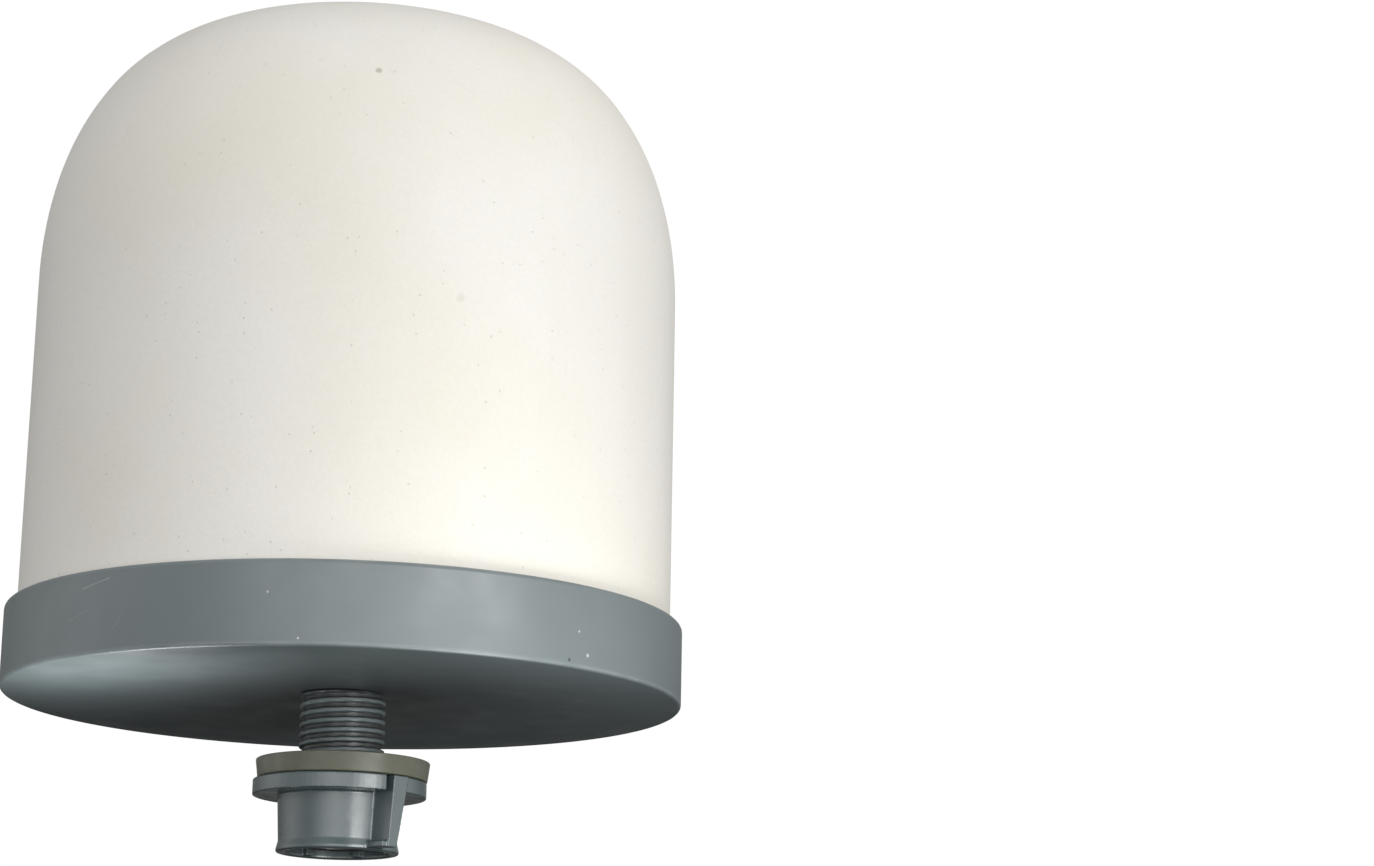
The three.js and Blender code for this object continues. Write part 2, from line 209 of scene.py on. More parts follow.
def filleted(corners):
    """A closed outline of (radius, z) points from (radius, z, fillet) corners."""
    outline = []
    count = len(corners)
    for i, (radius, z, fillet) in enumerate(corners):
        here = Vector((radius, z))
        if fillet == 0:
            outline.append(here)
            continue
        before = (Vector(corners[i - 1][:2]) - here).normalized()
        after = (Vector(corners[(i + 1) % count][:2]) - here).normalized()
        half = before.angle(after) / 2
        reach = fillet / math.tan(half)
        centre = here + (before + after).normalized() * (fillet / math.sin(half))
        start = here + before * reach - centre
        sweep = start.angle_signed(here + after * reach - centre)
        for step in range(FILLET_STEPS + 1):
            turn = -sweep * step / FILLET_STEPS
            cosine, sine = math.cos(turn), math.sin(turn)
            spoke = Vector((start.x * cosine - start.y * sine, start.x * sine + start.y * cosine))
            outline.append(centre + spoke)
    return outline


def revolved(name, outline, reshape=None):
    """Turns a closed outline about Z. reshape(radius, z, angle) gives each point's own radius."""
    vertices = []
    first_of = []
    for radius, z in outline:
        on_axis = radius < ON_AXIS
        first_of.append((len(vertices), on_axis))
        for step in range(1 if on_axis else ROUND_STEPS):
            angle = TURN * step / ROUND_STEPS
            own = reshape(radius, z, angle) if reshape and not on_axis else radius
            vertices.append((own * math.cos(angle), own * math.sin(angle), z))

    def vertex(row, step):
        first, on_axis = first_of[row % len(first_of)]
        return first if on_axis else first + step % ROUND_STEPS

    faces = []
    for row in range(len(outline)):
        for step in range(ROUND_STEPS):
            corners = [vertex(row, step), vertex(row, step + 1),
                       vertex(row + 1, step + 1), vertex(row + 1, step)]
            corners = list(dict.fromkeys(corners))
            if len(corners) > 2:
                faces.append(corners)
    return object_from(name, vertices, faces)


def wedge(name, low, high, bottom, top, angle):
    """A block with flat ends, given as (inner, outer, left, right) along +X, turned to an angle."""
    corners = []
    for z, (inner, outer, left, right) in ((bottom, low), (top, high)):
        for x, y in ((inner, left), (outer, left), (outer, right), (inner, right)):
            corners.append((x * math.cos(angle) - y * math.sin(angle),
                            x * math.sin(angle) + y * math.cos(angle), z))
    faces = [(3, 2, 1, 0), (4, 5, 6, 7), (0, 1, 5, 4), (1, 2, 6, 5), (2, 3, 7, 6), (3, 0, 4, 7)]
    return object_from(name, corners, faces)


def ring_sector(name, inner, outer, bottom, top, start, end):
    """Part of a ring between two angles, closed at both ends."""
    vertices = []
    for step in range(SECTOR_STEPS + 1):
        angle = start + (end - start) * step / SECTOR_STEPS
        for radius, z in ((inner, bottom), (outer, bottom), (outer, top), (inner, top)):
            vertices.append((radius * math.cos(angle), radius * math.sin(angle), z))
    faces = [(0, 1, 2, 3)]
    for step in range(SECTOR_STEPS):
        for side in range(4):
            a, b = step * 4 + side, step * 4 + (side + 1) % 4
            faces.append((b, a, a + 4, b + 4))
    last = SECTOR_STEPS * 4
    faces.append((last + 3, last + 2, last + 1, last))
    return object_from(name, vertices, faces)


def fused(name, parts, voxel, smoothing):
    """One moulded body from overlapping parts, with small soft fillets where they meet."""
    together = bmesh.new()
    for part in parts:
        together.from_mesh(part.data)
        bpy.data.objects.remove(part, do_unlink=True)
    mesh = bpy.data.meshes.new(name)
    together.to_mesh(mesh)
    together.free()
    piece = bpy.data.objects.new(name, mesh)
    bpy.context.scene.collection.objects.link(piece)
    remesh = piece.modifiers.new("fuse", "REMESH")
    remesh.mode = "VOXEL"
    remesh.voxel_size = voxel
    smooth = piece.modifiers.new("soften", "SMOOTH")
    smooth.factor = 0.5
    smooth.iterations = smoothing
    apply_modifiers(piece)
    piece.data.shade_smooth()
    return piece


def apply_modifiers(piece):
    """Makes the modified shape the piece's own mesh."""
    depsgraph = bpy.context.evaluated_depsgraph_get()
    shaped = bpy.data.meshes.new_from_object(piece.evaluated_get(depsgraph))
    piece.modifiers.clear()
    piece.data = shaped


def thread_height(z, angle):
    """Share of the thread's depth at a point: 1 on a crest, 0 in a groove, soft in between."""
    along = z / THREAD_PITCH - angle / TURN
    away = abs(along - round(along))
    share = min(1, max(0, (THREAD_GROOVE_START - away) / (THREAD_GROOVE_START - THREAD_CREST_END)))
    return share * share * (3 - 2 * share)


def finished(piece, material, slot, body, *nodes):
    """Gives a piece its material and its body, and hides the CAD nodes that it stands for."""
    piece.data.materials.clear()
    piece.data.materials.append(material)
    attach(piece, body)
    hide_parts(*nodes)


# ---- materials ---------------------------------------------------------------------------------


class Recipe:
    """A material made of nodes. Textures use the piece's own place, so a scale is per metre."""

    def __init__(self, name, roughness, **shader_values):
        self.material = bpy.data.materials.new(name)
        self.material.use_nodes = True
        self.tree = self.material.node_tree
        self.shader = self.tree.nodes["Principled BSDF"]
        self.shader.inputs["Roughness"].default_value = roughness
        for socket, value in shader_values.items():
            self.shader.inputs[socket.replace("_", " ")].default_value = value
        self.place = self.tree.nodes.new("ShaderNodeTexCoord").outputs["Object"]

    def node(self, kind, inputs=(), **settings):
        """A node of that kind. inputs maps socket names or numbers to values or other sockets."""
        made = self.tree.nodes.new("ShaderNode" + kind)
        for setting, value in settings.items():
            setattr(made, setting, value)
        for socket, value in dict(inputs).items():
            if isinstance(value, bpy.types.NodeSocket):
                self.tree.links.new(value, made.inputs[socket])
            else:
                made.inputs[socket].default_value = value
        return made

    def stretched(self, stretch, shift=(0, 0, 0)):
        mapping = self.node("Mapping", {"Vector": self.place, "Scale": stretch, "Location": shift})
        return mapping.outputs["Vector"]

    def grain(self, scale, detail=3, stretch=(1, 1, 1), shift=(0, 0, 0), roughness=0.5):
        """Cloudy noise from 0 to 1, most of it near 0.5."""
        values = {"Vector": self.stretched(stretch, shift), "Scale": scale, "Detail": detail,
                  "Roughness": roughness}
        return self.node("TexNoise", values).outputs["Fac"]

    def between(self, value, low, high):
        """0 below low, 1 above high, and even in between. low may be the larger."""
        values = {"Value": value, "From Min": low, "From Max": high}
        return self.node("MapRange", values).outputs["Result"]

    def maths(self, operation, a, b=0.0):
        return self.node("Math", {0: a, 1: b}, operation=operation).outputs["Value"]

    def mix(self, share, a, b):
        """Colour a where share is 0 and b where it is 1."""
        values = {0: share, 6: a, 7: b}
        return self.node("Mix", values, data_type="RGBA").outputs[2]

    def specks(self, spacing, size, rarity, shift=(0, 0, 0)):
        """Small round dots: 1 inside a dot. Only the share 1 - rarity of the cells has one."""
        place = self.stretched((1, 1, 1), shift)
        cells = self.node("TexVoronoi", {"Vector": place, "Scale": 1 / spacing})
        near = self.between(cells.outputs["Distance"], size / spacing, 0.6 * size / spacing)
        chosen = self.maths("GREATER_THAN", self.channel(cells.outputs["Color"], 0), rarity)
        return self.maths("MULTIPLY", near, chosen)

    def spot(self, point, radius):
        """A single round mark: 1 at a point and 0 past its radius."""
        away = self.node("VectorMath", {0: self.place, 1: point}, operation="DISTANCE")
        return self.between(away.outputs["Value"], radius, 0.5 * radius)

    def stroke(self, start, end, width):
        """A straight scratch: 1 along the line between two points and 0 past its width."""
        along = Vector(end) - Vector(start)
        here = self.node("VectorMath", {0: self.place, 1: start}, operation="SUBTRACT").outputs[0]
        spot = self.node("VectorMath", {0: here, 1: along / along.length_squared},
                         operation="DOT_PRODUCT").outputs["Value"]
        share = self.between(spot, 0, 1)
        near = self.node("VectorMath", {0: along}, operation="SCALE")
        self.tree.links.new(share, near.inputs["Scale"])
        away = self.node("VectorMath", {0: here, 1: near.outputs[0]}, operation="DISTANCE")
        return self.between(away.outputs["Value"], width, 0.3 * width)

    def channel(self, vector, number):
        return self.node("SeparateXYZ", {0: vector}).outputs[number]

    def height(self):
        return self.channel(self.place, 2)

    def radius(self):
        flat = self.node("VectorMath", {0: self.place, 1: (1, 1, 0)}, operation="MULTIPLY")
        return self.node("VectorMath", {0: flat.outputs[0]}, operation="LENGTH").outputs["Value"]

    def band(self, value, middle, half_width):
        """1 at the middle of a band, falling to 0 at its edges."""
        return self.between(self.maths("ABSOLUTE", self.maths("SUBTRACT", value, middle)), half_width, 0)

    def bump(self, height, distance, below=None):
        values = {"Height": height, "Distance": distance, "Strength": 1.0}
        if below is not None:
            values["Normal"] = below
        return self.node("Bump", values).outputs["Normal"]

    def finish(self, colour, roughness=None, normal=None):
        self.tree.links.new(colour, self.shader.inputs["Base Color"])
        if roughness is not None:
            self.tree.links.new(roughness, self.shader.inputs["Roughness"])
        if normal is not None:
            self.tree.links.new(normal, self.shader.inputs["Normal"])
        return self.material


def around(azimuth, reach, z):
    """A point in metres, from degrees right of the camera's side, reach and z in millimetres."""
    angle = math.radians(azimuth)
    return Vector((reach * math.sin(angle), -reach * math.cos(angle), z)) * MM


def shade(red, green, blue):
    return (red, green, blue, 1)


def ceramic_material():
    """Fired porous ceramic: cream, with cloudy warm patches, fine grain, pores and a few specks."""
    look = Recipe("cream_ceramic", 0.85, Subsurface_Weight=0.12, Subsurface_Scale=1.2 * MM,
                  Subsurface_Radius=(1, 0.8, 0.55))
    clouds = look.between(look.grain(28, 4), 0.45, 0.72)
    colour = look.mix(clouds, shade(0.815, 0.8, 0.752), shade(0.79, 0.76, 0.68))
    streaks = look.between(look.grain(70, 3, (1, 1, 0.16)), 0.5, 0.75)
    colour = look.mix(look.maths("MULTIPLY", streaks, 0.45), colour, shade(0.77, 0.745, 0.67))
    grain = look.between(look.grain(1900, 2), 0.3, 0.7)
    colour = look.mix(look.maths("MULTIPLY", grain, 0.09), colour, shade(0.6, 0.56, 0.47))
    pores = look.specks(1.6 * MM, 0.17 * MM, 0.55)
    colour = look.mix(look.maths("MULTIPLY", pores, 0.3), colour, shade(0.5, 0.45, 0.35))
    dots = look.specks(9 * MM, 0.3 * MM, 0.86, (0.013, 0.002, 0.007))
    colour = look.mix(look.maths("MULTIPLY", dots, 0.7), colour, shade(0.22, 0.17, 0.12))
    for point, radius, strength in DOME_MARKS:
        mark = look.spot(around(*point), radius * MM)
        colour = look.mix(look.maths("MULTIPLY", mark, strength), colour, shade(0.22, 0.17, 0.12))
    swell = look.bump(look.grain(160, 3), 0.05 * MM)
    rough = look.bump(look.grain(1500, 3, roughness=0.65), 0.045 * MM, below=swell)
    pitted = look.bump(look.maths("SUBTRACT", 1.0, pores), 0.05 * MM, below=rough)
    return look.finish(colour, look.between(grain, -2.5, 2), pitted)


def cap_material():
    """Moulded grey plastic: fine matte texture, edges lightened by rubbed wear and a painted highlight,
    painted shade in the thread grooves and a painted shadow around the stem, scratches and pale dust.
    """
    look = Recipe("grey_plastic", 0.45, IOR=1.85)
    clouds = look.between(look.grain(50, 3), 0.35, 0.7)
    colour = look.mix(clouds, shade(0.114, 0.144, 0.149), shade(0.13, 0.16, 0.165))
    # Painted shade: the stem's thread grooves are coloured near black where shade falls between the
    # crests.
    painted_groove_shade = look.between(look.radius(), STEM_CREST_RADIUS - 0.08 * MM, STEM_ROOT_RADIUS + 0.04 * MM)
    colour = look.mix(look.maths("MULTIPLY", painted_groove_shade, 0.9), colour, shade(0.012, 0.014, 0.014))
    # Painted shadow: the underside's dish is darkened around the stem, where the washer and nut shade
    # it.
    towards_stem = look.band(look.radius(), 8 * MM, 32 * MM)
    painted_stem_shadow = look.maths("MULTIPLY", towards_stem, look.between(look.height(), -0.1 * MM, 0.1 * MM))
    colour = look.mix(look.maths("MULTIPLY", painted_stem_shadow, 0.9), colour, shade(0.03, 0.036, 0.038))
    # The rim's top and bottom edges are lightened: partly rubbed wear, partly a painted highlight on the
    # rounded edges.
    rim = look.between(look.radius(), CAP_RADIUS - 0.7 * MM, CAP_RADIUS - 0.3 * MM)
    low_edge = look.band(look.height(), 0.3 * MM, 0.45 * MM)
    high_edge = look.band(look.height(), CAP_HIGH.z - 0.25 * MM, 0.4 * MM)
    edges = look.maths("MAXIMUM", low_edge, high_edge)
    rubbed = look.between(look.grain(150, 2, (1, 1, 0.5)), 0.1, 0.75)
    wear_and_edge_highlight = look.maths("MULTIPLY", look.maths("MULTIPLY", edges, rim), rubbed)
    colour = look.mix(look.maths("MULTIPLY", wear_and_edge_highlight, 0.35), colour, shade(0.36, 0.4, 0.4))
    dust = look.specks(6 * MM, 0.16 * MM, 0.75)
    colour = look.mix(look.maths("MULTIPLY", dust, 0.4), colour, shade(0.5, 0.54, 0.53))
    for start, end, width, strength in CAP_SCRATCHES:
        line = look.stroke(around(*start), around(*end), width * MM)
        colour = look.mix(look.maths("MULTIPLY", line, strength), colour, shade(0.5, 0.54, 0.53))
    for point, radius, tone in CAP_MARKS:
        mark = look.spot(around(*point), radius * MM)
        colour = look.mix(mark, colour, shade(tone, tone, tone))
    normal = look.bump(look.grain(1700, 2), 0.007 * MM)
    normal = look.bump(look.grain(90, 2), 0.02 * MM, below=normal)
    return look.finish(colour, look.between(look.grain(140, 3), -0.8, 2.1), normal)


def nut_material():
    """Grey plastic with a soft shine, faint flow marks and a little dust."""
    look = Recipe("nut_plastic", 0.26, IOR=1.85)
    clouds = look.between(look.grain(180, 3, (1, 1, 0.3)), 0.3, 0.7)
    colour = look.mix(clouds, shade(0.062, 0.088, 0.091), shade(0.078, 0.105, 0.11))
    dust = look.specks(3 * MM, 0.1 * MM, 0.85)
    colour = look.mix(look.maths("MULTIPLY", dust, 0.35), colour, shade(0.45, 0.48, 0.48))
    normal = look.bump(look.grain(1200, 2), 0.002 * MM)
    normal = look.bump(look.grain(300, 2, (1, 1, 0.4)), 0.02 * MM, below=normal)
    return look.finish(colour, look.between(look.grain(320, 3), -0.2, 2.5), normal)


def silicone_material():
    """Olive translucent silicone with fine lint and a faint parting texture."""
    look = Recipe("olive_silicone", 0.42, Subsurface_Weight=0.35, Subsurface_Scale=1.5 * MM,
                  Subsurface_Radius=(1, 0.95, 0.6))
    clouds = look.between(look.grain(240, 3), 0.38, 0.66)
    colour = look.mix(clouds, shade(0.115, 0.12, 0.085), shade(0.14, 0.145, 0.11))
    lint = look.specks(1.8 * MM, 0.11 * MM, 0.8)
    colour = look.mix(look.maths("MULTIPLY", lint, 0.4), colour, shade(0.55, 0.55, 0.48))
    normal = look.bump(look.grain(1600, 2), 0.012 * MM)
    normal = look.bump(look.grain(200, 2, (1, 1, 3)), 0.03 * MM, below=normal)
    return look.finish(colour, look.between(look.grain(400, 2), -0.3, 1.7), normal)


def carbon_material():
    """Matte black granules with a few greyer faces."""
    look = Recipe("activated_carbon", 0.9)
    faces = look.node("TexVoronoi", {"Vector": look.place, "Scale": 700}).outputs["Color"]
    colour = look.mix(look.channel(faces, 0), shade(0.012, 0.012, 0.013), shade(0.05, 0.05, 0.052))
    normal = look.bump(look.grain(2400, 4), 0.1 * MM)
    return look.finish(colour, look.between(look.channel(faces, 1), -1.6, 1.1), normal)


def felt_material():
    """Pressed white fibres that lie across each other."""
    look = Recipe("white_felt", 0.95, Sheen_Weight=0.3)
    across = look.grain(900, 4, (1, 0.12, 1))
    along = look.grain(900, 4, (0.12, 1, 1), (0.3, 0.1, 0))
    fibres = look.maths("MAXIMUM", across, along)
    colour = look.mix(look.between(fibres, 0.45, 0.7), shade(0.66, 0.64, 0.59), shade(0.84, 0.83, 0.79))
    return look.finish(colour, None, look.bump(fibres, 0.2 * MM))


def white_plastic_material():
    """Plain white moulded plastic with a fine texture."""
    look = Recipe("white_plastic", 0.45)
    colour = look.mix(look.grain(150, 3), shade(0.7, 0.71, 0.71), shade(0.8, 0.8, 0.79))
    normal = look.bump(look.grain(2200, 2), 0.01 * MM)
    return look.finish(colour, look.between(look.grain(300, 2), -0.4, 1.7), normal)


def resin_material():
    """Cured amber resin with small trapped bubbles."""
    look = Recipe("amber_resin", 0.22, Subsurface_Weight=0.3, Subsurface_Scale=2 * MM)
    bubbles = look.specks(1.5 * MM, 0.22 * MM, 0.7)
    colour = look.mix(look.grain(120, 3), shade(0.5, 0.4, 0.2), shade(0.66, 0.56, 0.33))
    colour = look.mix(look.maths("MULTIPLY", bubbles, 0.5), colour, shade(0.8, 0.75, 0.6))
    normal = look.bump(bubbles, 0.05 * MM)
    return look.finish(colour, look.between(look.grain(200, 2), -0.5, 3), normal)


# ---- pieces ------------------------------------------------------------------------------------


def dome_curve(inset, steps):
    """The dome from shoulder to crown, offset inwards, as (radius, z) points."""
    rise = DOME_HIGH.z - inset - DOME_SHOULDER_Z
    points = []
    for i in range(steps + 1):
        angle = math.pi / 2 * i / steps
        across = 0 if i == steps else math.cos(angle) ** (2 / DOME_BELLY)
        height = DOME_SHOULDER_Z + rise * math.sin(angle) ** (2 / DOME_CROWN)
        points.append(((DOME_SHOULDER_RADIUS - inset) * across, height))
    return points


def add_dome():
    """The ceramic shell. Its outside is very slightly uneven, as a cast and fired wall is."""
    wall_rows = 24
    outside = []
    edge = 0.5 * MM
    for i in range(wall_rows):
        share = i / wall_rows
        radius = DOME_HIGH.x + (DOME_SHOULDER_RADIUS - DOME_HIGH.x) * share
        outside.append((radius, DOME_LOW.z + edge + (DOME_SHOULDER_Z - DOME_LOW.z - edge) * share))
    rim = [(DOME_HIGH.x - DOME_WALL, DOME_LOW.z), (DOME_HIGH.x - edge, DOME_LOW.z)]
    outline = rim + outside + dome_curve(0, 64) + dome_curve(DOME_WALL, 24)[::-1]

    def uneven(radius, z, angle):
        if radius < DOME_SHOULDER_RADIUS - DOME_WALL and z < DOME_HIGH.z - DOME_WALL:
            return radius
        place = Vector((radius * math.cos(angle), radius * math.sin(angle), z * 0.7))
        wave = 0.7 * noise.noise(place * 45) + 0.3 * noise.noise(place * 160)
        return radius - DOME_UNEVENNESS * min(1, radius / DOME_WALL) * (wave + 1) / 2

    dome = revolved("dome_shell", outline, reshape=uneven)
    finished(dome, ceramic_material(), "cream_ceramic", "filter", "ceramic_dome")


def add_base_cap():
    """Cup, centring ring and threaded stem, moulded as one piece."""
    stem_end = CAP_LOW.z
    groove = STEM_ROOT_RADIUS
    upstand = PLATE_HIGH.x
    seat_z = STRAINER_LOW.z - GAP
    thread_rows = round((DISH_DEPTH - stem_end) / THREAD_ROW_HEIGHT)
    stem = []
    for i in range(1, thread_rows):
        stem.append((groove, stem_end + (DISH_DEPTH - stem_end) * i / thread_rows))
    corners = filleted([
        (groove, DISH_DEPTH, 0.12 * MM),
        (CAP_RADIUS - SEAT_RING_WIDTH, 0, 2 * MM),
        (CAP_RADIUS, 0, CAP_BOTTOM_ROUND),
        (CAP_RADIUS, CAP_HIGH.z, CAP_TOP_ROUND),
        (CAP_RADIUS - CAP_WALL, CAP_HIGH.z, 0.2 * MM),
        (CAP_RADIUS - CAP_WALL, CAP_FLOOR_TOP, 0.3 * MM),
        (upstand, CAP_FLOOR_TOP, 0.3 * MM),
        (upstand, PLATE_LOW.z - GAP, 0.3 * MM),
        (upstand - UPSTAND_WALL, PLATE_LOW.z - GAP, 0.3 * MM),
        (upstand - UPSTAND_WALL, CAP_FLOOR_TOP, 0.5 * MM),
        (STRAINER_SEAT_RADIUS, CAP_FLOOR_TOP, 0.15 * MM),
        (STRAINER_SEAT_RADIUS, seat_z, 0.15 * MM),
        (STEM_BORE_RADIUS, seat_z, 0.2 * MM),
        (STEM_BORE_RADIUS, stem_end, 0.3 * MM),
        (groove, stem_end, 0.25 * MM),
    ])

    def threaded(radius, z, angle):
        if abs(radius - groove) > 0.01 * MM or z > DISH_DEPTH:
            return radius
        from_end = min(1, max(0, (z - stem_end) / THREAD_START_FADE))
        from_dish = min(1, max(0, (DISH_DEPTH - z) / THREAD_END_FADE))
        run_in = from_end * from_dish
        return radius + THREAD_DEPTH * thread_height(z, angle) * run_in

    cap = revolved("cap_and_stem", corners + [Vector(point) for point in stem], reshape=threaded)
    finished(cap, cap_material(), "grey_plastic", "filter", "base_cap")


def add_washer():
    """Soft ring, narrower at its bottom, that hangs to one side within its play on the stem."""
    washer = revolved("washer_ring", filleted([
        (WASHER_BORE_RADIUS, WASHER_LOW.z - WASHER_SAG, 0.25 * MM),
        (WASHER_HIGH.x - WASHER_TAPER, WASHER_LOW.z - WASHER_SAG, 0.25 * MM),
        (WASHER_HIGH.x, WASHER_HIGH.z, 0.15 * MM),
        (WASHER_BORE_RADIUS, WASHER_HIGH.z, 0.25 * MM),
    ]))
    for vertex in washer.data.vertices:
        vertex.co.x += WASHER_PLAY
    finished(washer, silicone_material(), "olive_silicone", "washer", "sealing_washer")


def add_nut():
    """Flanged nut with one ear. The parts overlap and are fused into one moulded body."""
    bottom, top = NUT_LOW.z, NUT_HIGH.z
    flange_bottom = top - NUT_FLANGE_THICKNESS
    outlet_top = bottom + NUT_OUTLET_DEPTH
    crest = STEM_ROOT_RADIUS + NUT_THREAD_CLEARANCE
    thread_top = top - NUT_THREAD_MARGIN
    thread_bottom = outlet_top + NUT_THREAD_MARGIN
    thread_rows = round((thread_top - thread_bottom) / THREAD_ROW_HEIGHT)
    thread = []
    for i in range(thread_rows + 1):
        thread.append((crest, thread_top + (thread_bottom - thread_top) * i / thread_rows, 0))
    outside = filleted([
        (NUT_OUTLET_RADIUS, bottom, 0.25 * MM),
        (NUT_LIP_RADIUS, bottom, 0.25 * MM),
        (NUT_LIP_RADIUS, bottom + NUT_LIP_HEIGHT / 2, 0.2 * MM),
        (NUT_BODY_BOTTOM_RADIUS, bottom + 2 * NUT_LIP_HEIGHT, NUT_LIP_HEIGHT),
        (NUT_BODY_TOP_RADIUS, flange_bottom, 0),
        (NUT_BODY_TOP_RADIUS, top, 0),
        (crest, top, 0.2 * MM),
        *thread,
        (crest, outlet_top, 0.2 * MM),
        (NUT_OUTLET_RADIUS, outlet_top, 0.2 * MM),
    ])

    def threaded(radius, z, angle):
        if radius > crest + NUT_BORE_EDGE:
            return radius
        return max(radius, crest + THREAD_DEPTH * thread_height(z, angle))

    body = revolved("nut_body", outside, reshape=threaded)
    inside = NUT_OUTLET_RADIUS + GAP
    side = EAR_SIDE_Y
    far_bottom = side + EAR_THICKNESS_BOTTOM
    far_top = side + EAR_THICKNESS_TOP
    ear_bottom = bottom + EAR_FOOT_GAP
    ear = wedge("nut_ear", (inside, EAR_RADIUS_BOTTOM, side, far_bottom),
                (inside, EAR_RADIUS_TOP, side, far_top), ear_bottom, top, EAR_ANGLE)
    ledge = (inside, EAR_FOOT_RADIUS, side - EAR_FOOT_WIDTH, far_bottom)
    foot = wedge("nut_foot", ledge, ledge, ear_bottom, ear_bottom + EAR_FOOT_HEIGHT, EAR_ANGLE)
    flange_end = EAR_ANGLE + math.asin((side - EAR_SLOT_WIDTH) / NUT_FLANGE_RADIUS)
    flange = ring_sector("nut_flange", inside, NUT_FLANGE_RADIUS, flange_bottom, top,
                         EAR_ANGLE, flange_end + TURN)
    parts = [body, flange, ear, foot]
    rib = (NUT_RIB_INNER_RADIUS, inside + GAP, -NUT_RIB_WIDTH / 2, NUT_RIB_WIDTH / 2)
    for i in range(NUT_RIB_COUNT):
        parts.append(wedge("nut_rib", rib, rib, ear_bottom, outlet_top + GAP,
                           NUT_RIB_ANGLE + TURN * i / NUT_RIB_COUNT))
    nut = fused("flanged_nut", parts, NUT_VOXEL, NUT_SOFTENING)
    finished(nut, nut_material(), "nut_plastic", "nut", "wing_nut")


def add_carbon_bed():
    """Granules that fill the dome: the bed's outline with a pebbled skin."""
    wall_rows = 40
    outline = []
    for i in range(20):
        outline.append((BED_HIGH.x * i / 20, BED_LOW.z))
    for i in range(wall_rows):
        outline.append((BED_HIGH.x, BED_LOW.z + (DOME_SHOULDER_Z - BED_LOW.z) * i / wall_rows))
    outline += dome_curve(DOME_WALL + GAP, 40)

    def pebbled(radius, z, angle):
        place = Vector((radius * math.cos(angle), radius * math.sin(angle), z))
        return radius - GRANULE_RELIEF * min(1, noise.voronoi(place / GRANULE_SIZE)[0][0])

    bed = revolved("carbon_granules", outline, reshape=pebbled)
    finished(bed, carbon_material(), "activated_carbon", "filter", "carbon_bed")


def add_felt():
    """Pressed disc with soft edges and a slightly wavy rim."""
    edge = 0.8 * MM
    outline = filleted([
        (0, FELT_LOW.z, 0),
        (FELT_HIGH.x, FELT_LOW.z, edge),
        (FELT_HIGH.x, FELT_HIGH.z, edge),
        (0, FELT_HIGH.z, 0),
    ])

    def wavy(radius, z, angle):
        place = Vector((math.cos(angle), math.sin(angle), z / FELT_HIGH.x))
        return radius - 0.15 * MM * (1 + noise.noise(place * 6))

    felt = revolved("felt_disc", outline, reshape=wavy)
    finished(felt, felt_material(), "white_felt", "filter", "felt_pad")


def add_bond():
    """Cured resin whose top creeps up a little at both walls."""
    middle = (BOND_HIGH.x + BOND_INNER_RADIUS) / 2
    bond = revolved("resin_bead", filleted([
        (BOND_INNER_RADIUS, BOND_LOW.z, 0.1 * MM),
        (BOND_HIGH.x, BOND_LOW.z, 0.1 * MM),
        (BOND_HIGH.x, BOND_HIGH.z, 0.05 * MM),
        (middle, BOND_HIGH.z - 0.3 * MM, 2 * MM),
        (BOND_INNER_RADIUS, BOND_HIGH.z, 0.05 * MM),
    ]))
    finished(bond, resin_material(), "amber_resin", "filter", "bond_ring")


def finish_plain_pieces():
    """The plate and the strainer keep their CAD solids, in white plastic."""
    plain = white_plastic_material()
    for node in ("retaining_plate", "outlet_strainer"):
        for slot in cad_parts[node].material_slots:
            slot.material = plain


# ---- stage -------------------------------------------------------------------------------------


def add_camera():
    """Below and in front of the filter, which fills the left half of the picture."""
    data = bpy.data.cameras.new("camera")
    data.lens = CAMERA_LENS
    data.sensor_width = CAMERA_SENSOR_WIDTH
    camera = bpy.data.objects.new("camera", data)
    aim = Euler((math.pi / 2 + CAMERA_RISE, 0, CAMERA_TURN)).to_quaternion()
    roll = Euler((0, 0, CAMERA_ROLL)).to_quaternion()
    camera.rotation_euler = (aim @ roll).to_euler()
    camera.location = CAMERA_PLACE
    bpy.context.scene.collection.objects.link(camera)
    bpy.context.scene.camera = camera


def toward(azimuth, elevation):
    """Unit vector for degrees to the right of the camera's side and degrees up."""
    flat = math.cos(math.radians(elevation))
    return Vector((math.sin(math.radians(azimuth)) * flat, -math.cos(math.radians(azimuth)) * flat,
                   math.sin(math.radians(elevation))))


def add_light(name, place, aim, size, power, spread=180):
    """A square soft light at a place, turned to face another. Its beam is spread degrees wide."""
    data = bpy.data.lights.new(name, "AREA")
    data.size = size
    data.energy = power
    data.spread = math.radians(spread)
    light = bpy.data.objects.new(name, data)
    light.location = place
    light.rotation_euler = (Vector(aim) - Vector(place)).to_track_quat("-Z", "Y").to_euler()
    light.visible_camera = False
    bpy.context.scene.collection.objects.link(light)


def add_lights():
    """A large soft key from the right, and two small lamps that lift the cap's edge and underside."""
    middle = (0, 0, 30 * MM)
    azimuth, elevation, distance = KEY_PLACE
    add_light("key", toward(azimuth, elevation) * distance, middle, KEY_SIZE, KEY_POWER)
    place = toward(EDGE_LAMP_TURN, 0) * EDGE_LAMP_REACH
    place.z = EDGE_LAMP_Z
    add_light("edge_lamp", place, middle, EDGE_LAMP_SIZE, EDGE_LAMP_POWER)
    place = toward(UNDER_LAMP_TURN, 0) * UNDER_LAMP_REACH
    place.z = UNDER_LAMP_Z
    above = (place.x, place.y, 0)
    add_light("under_lamp", place, above, UNDER_LAMP_SIZE, UNDER_LAMP_POWER, UNDER_LAMP_SPREAD)


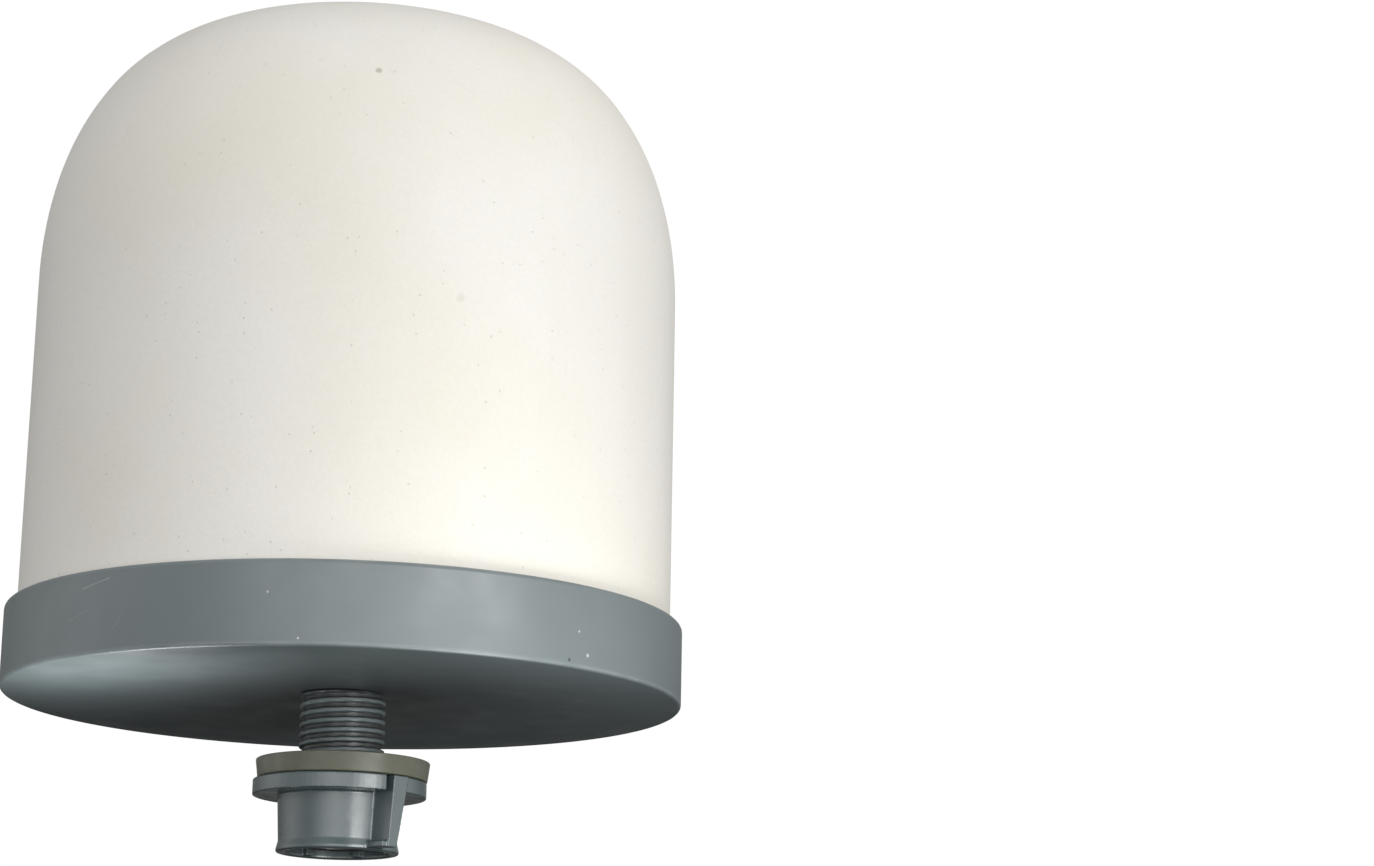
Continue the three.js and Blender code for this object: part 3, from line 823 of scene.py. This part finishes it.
def add_floor():
    """A plain pale floor below the camera. It neither lights the filter nor shades it."""
    corners = []
    for x, y in ((-1, -1), (1, -1), (1, 1), (-1, 1)):
        corners.append((x * FLOOR_REACH, y * FLOOR_REACH, FLOOR_Z))
    floor = object_from("floor", corners, [(0, 1, 2, 3)])
    look = Recipe("pale_floor", 0.9)
    colour = look.mix(look.grain(3, 2), shade(0.86, 0.86, 0.85), shade(0.9, 0.9, 0.9))
    floor.data.materials.append(look.finish(colour))
    floor.visible_diffuse = False
    floor.visible_glossy = False
    floor.visible_shadow = False


def add_world():
    """White behind everything, and a soft tent of light that is the sum of a few broad glows."""
    world = bpy.data.worlds.new("studio")
    bpy.context.scene.world = world
    world.use_nodes = True
    tree = world.node_tree
    tree.nodes.clear()
    link = tree.links.new
    direction = tree.nodes.new("ShaderNodeTexCoord").outputs["Generated"]
    total = None
    for azimuth, elevation, brightness in TENT_GLOWS:
        facing = tree.nodes.new("ShaderNodeVectorMath")
        facing.operation = "DOT_PRODUCT"
        link(direction, facing.inputs[0])
        facing.inputs[1].default_value = toward(azimuth, elevation)
        forward = tree.nodes.new("ShaderNodeMath")
        forward.operation = "MAXIMUM"
        link(facing.outputs["Value"], forward.inputs[0])
        forward.inputs[1].default_value = 0
        falloff = tree.nodes.new("ShaderNodeMath")
        falloff.operation = "POWER"
        link(forward.outputs[0], falloff.inputs[0])
        falloff.inputs[1].default_value = GLOW_SHARPNESS
        glow = tree.nodes.new("ShaderNodeVectorMath")
        glow.operation = "SCALE"
        glow.inputs[0].default_value = (brightness, brightness, brightness)
        link(falloff.outputs[0], glow.inputs["Scale"])
        if total is None:
            total = glow.outputs[0]
        else:
            both = tree.nodes.new("ShaderNodeVectorMath")
            link(total, both.inputs[0])
            link(glow.outputs[0], both.inputs[1])
            total = both.outputs[0]
    tent = tree.nodes.new("ShaderNodeBackground")
    link(total, tent.inputs["Color"])
    backdrop = tree.nodes.new("ShaderNodeBackground")
    backdrop.inputs["Color"].default_value = shade(1, 1, 1)
    backdrop.inputs["Strength"].default_value = BACKDROP_STRENGTH
    seen = tree.nodes.new("ShaderNodeLightPath").outputs["Is Camera Ray"]
    either = tree.nodes.new("ShaderNodeMixShader")
    link(seen, either.inputs[0])
    link(tent.outputs[0], either.inputs[1])
    link(backdrop.outputs[0], either.inputs[2])
    link(either.outputs[0], tree.nodes.new("ShaderNodeOutputWorld").inputs["Surface"])


bpy.context.scene.view_settings.view_transform = "Standard"
add_camera()
add_dome()
add_base_cap()
add_washer()
add_nut()
add_carbon_bed()
add_felt()
add_bond()
finish_plain_pieces()
add_floor()
add_world()
add_lights()
